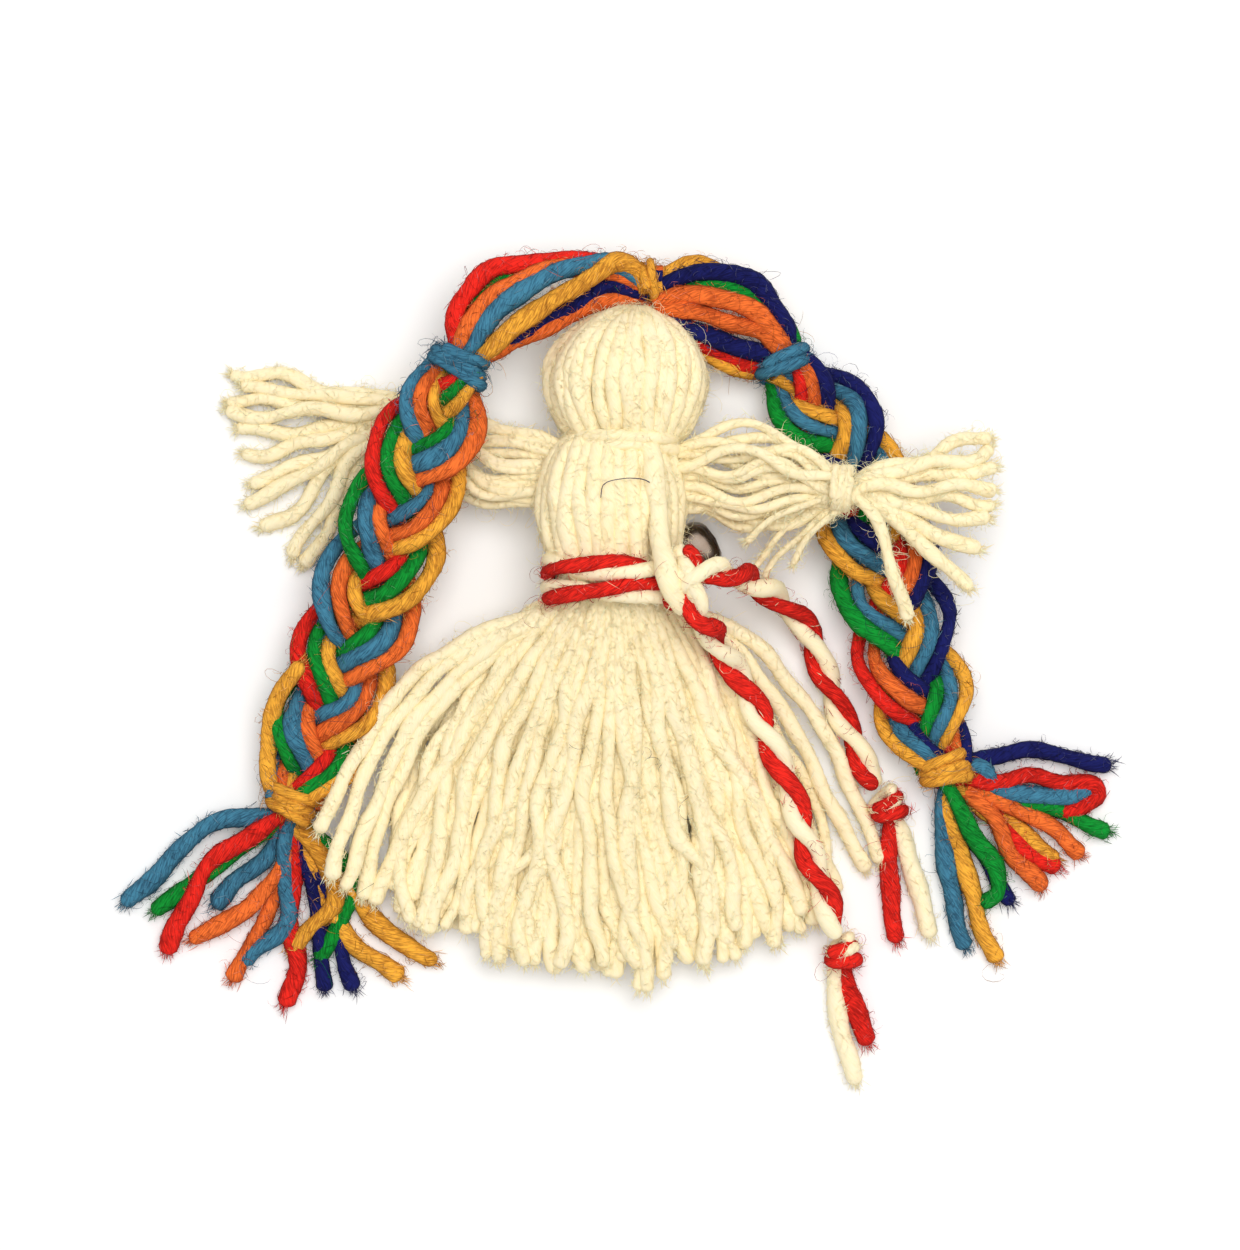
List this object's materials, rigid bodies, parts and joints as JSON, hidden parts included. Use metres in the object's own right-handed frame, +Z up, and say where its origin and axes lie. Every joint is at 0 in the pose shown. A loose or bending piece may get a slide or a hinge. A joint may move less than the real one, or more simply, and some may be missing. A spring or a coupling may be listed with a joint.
{
  "type": "yarn doll",
  "caption": "Small doll of tied wool yarn with a fringed skirt, tied arms, long coloured plaits and a twisted cord belt, made to be worn with a safety pin.",
  "frame": {"origin": "on the surface the doll lies on, under the middle of the skirt", "axes": "+X to the doll's left arm, which is the viewer's right, +Y towards the head, +Z up out of the front"},
  "size_m": [0.1098, 0.0927, 0.0181],
  "materials": {
    "cream_wool": "fuzzy two-ply wool yarn",
    "red_wool": "fuzzy wool yarn",
    "teal_wool": "fuzzy wool yarn",
    "gold_wool": "fuzzy wool yarn",
    "orange_wool": "fuzzy wool yarn",
    "green_wool": "fuzzy wool yarn",
    "red_and_white_cord": "cord twisted from a red and a white yarn",
    "nickel_wire": "nickel-plated wire"
  },
  "bodies": {
    "body": {"head": "cream_wool", "neck_tie": "cream_wool", "torso": "cream_wool", "skirt": "cream_wool", "belt_turn_upper": "red_and_white_cord", "belt_turn_lower": "red_and_white_cord", "belt_knot": "red_and_white_cord", "left_tail": "red_and_white_cord", "left_tail_knot": "red_wool", "left_tail_end_red": "red_wool", "left_tail_end_white": "cream_wool", "right_tail": "red_and_white_cord", "right_tail_knot": "red_wool", "right_tail_end_red": "red_wool", "right_tail_end_white": "cream_wool", "pin_leg": "nickel_wire", "pin_cap": "nickel_wire", "pin_stitch_1": "red_wool", "pin_stitch_2": "red_wool", "crown_bundle": "orange_wool", "crown_tie": "gold_wool"},
    "needle": {"pin_needle": "nickel_wire"},
    "left_arm": {"left_sleeve": "cream_wool", "left_wrist_tie": "cream_wool"},
    "left_hand": {"left_hand": "cream_wool"},
    "left_lock": {"left_lock": "orange_wool", "left_side_tie": "teal_wool"},
    "left_plait": {"left_plait_leg_1": "green_wool", "left_plait_leg_2": "teal_wool", "left_plait_leg_3": "orange_wool", "left_end_tie": "gold_wool"},
    "left_tassel": {"left_tassel": "teal_wool"},
    "right_arm": {"right_sleeve": "cream_wool", "right_wrist_tie": "cream_wool"},
    "right_hand": {"right_hand": "cream_wool"},
    "right_lock": {"right_lock": "orange_wool", "right_side_tie": "teal_wool"},
    "right_plait": {"right_plait_leg_1": "green_wool", "right_plait_leg_2": "teal_wool", "right_plait_leg_3": "orange_wool", "right_end_tie": "gold_wool"},
    "right_tassel": {"right_tassel": "teal_wool"}
  },
  "joints": [
    {"name": "needle_spring_turn", "type": "hinge", "parent": "body", "child": "needle", "pos_m": [-0.0075, 0.0241, 0.00265], "axis": [0, 0, 1], "range_deg": [0, 30]},
    {"name": "left_shoulder", "type": "hinge", "parent": "body", "child": "left_arm", "pos_m": [-0.00889, 0.04175, 0.00834], "axis": [0, 0, -1], "range_deg": [-12, 20]},
    {"name": "left_wrist", "type": "hinge", "parent": "left_arm", "child": "left_hand", "pos_m": [-0.02289, 0.04885, 0.0033], "axis": [0, 0, -1], "range_deg": [-15, 15]},
    {"name": "left_crown", "type": "hinge", "parent": "body", "child": "left_lock", "pos_m": [0.0036, 0.0629, 0.0082], "axis": [0, 0, -1], "range_deg": [0, 15]},
    {"name": "left_side_tie", "type": "hinge", "parent": "left_lock", "child": "left_plait", "pos_m": [-0.0176, 0.0537, 0.0104], "axis": [0, 0, -1], "range_deg": [0, 25]},
    {"name": "left_end_tie", "type": "hinge", "parent": "left_plait", "child": "left_tassel", "pos_m": [-0.03624, 0.00515, 0.0038], "axis": [0, 0, -1], "range_deg": [0, 20]},
    {"name": "right_shoulder", "type": "hinge", "parent": "body", "child": "right_arm", "pos_m": [0.00749, 0.04175, 0.00834], "axis": [0, 0, 1], "range_deg": [-8, 20]},
    {"name": "right_wrist", "type": "hinge", "parent": "right_arm", "child": "right_hand", "pos_m": [0.02449, 0.03995, 0.0114], "axis": [0, 0, 1], "range_deg": [-12, 12]},
    {"name": "right_crown", "type": "hinge", "parent": "body", "child": "right_lock", "pos_m": [0.0036, 0.0629, 0.0082], "axis": [0, 0, 1], "range_deg": [0, 15]},
    {"name": "right_side_tie", "type": "hinge", "parent": "right_lock", "child": "right_plait", "pos_m": [0.0183, 0.054, 0.0043], "axis": [0, 0, 1], "range_deg": [0, 25]},
    {"name": "right_end_tie", "type": "hinge", "parent": "right_plait", "child": "right_tassel", "pos_m": [0.03631, 0.00897, 0.0038], "axis": [0, 0, 1], "range_deg": [0, 20]}
  ]
}
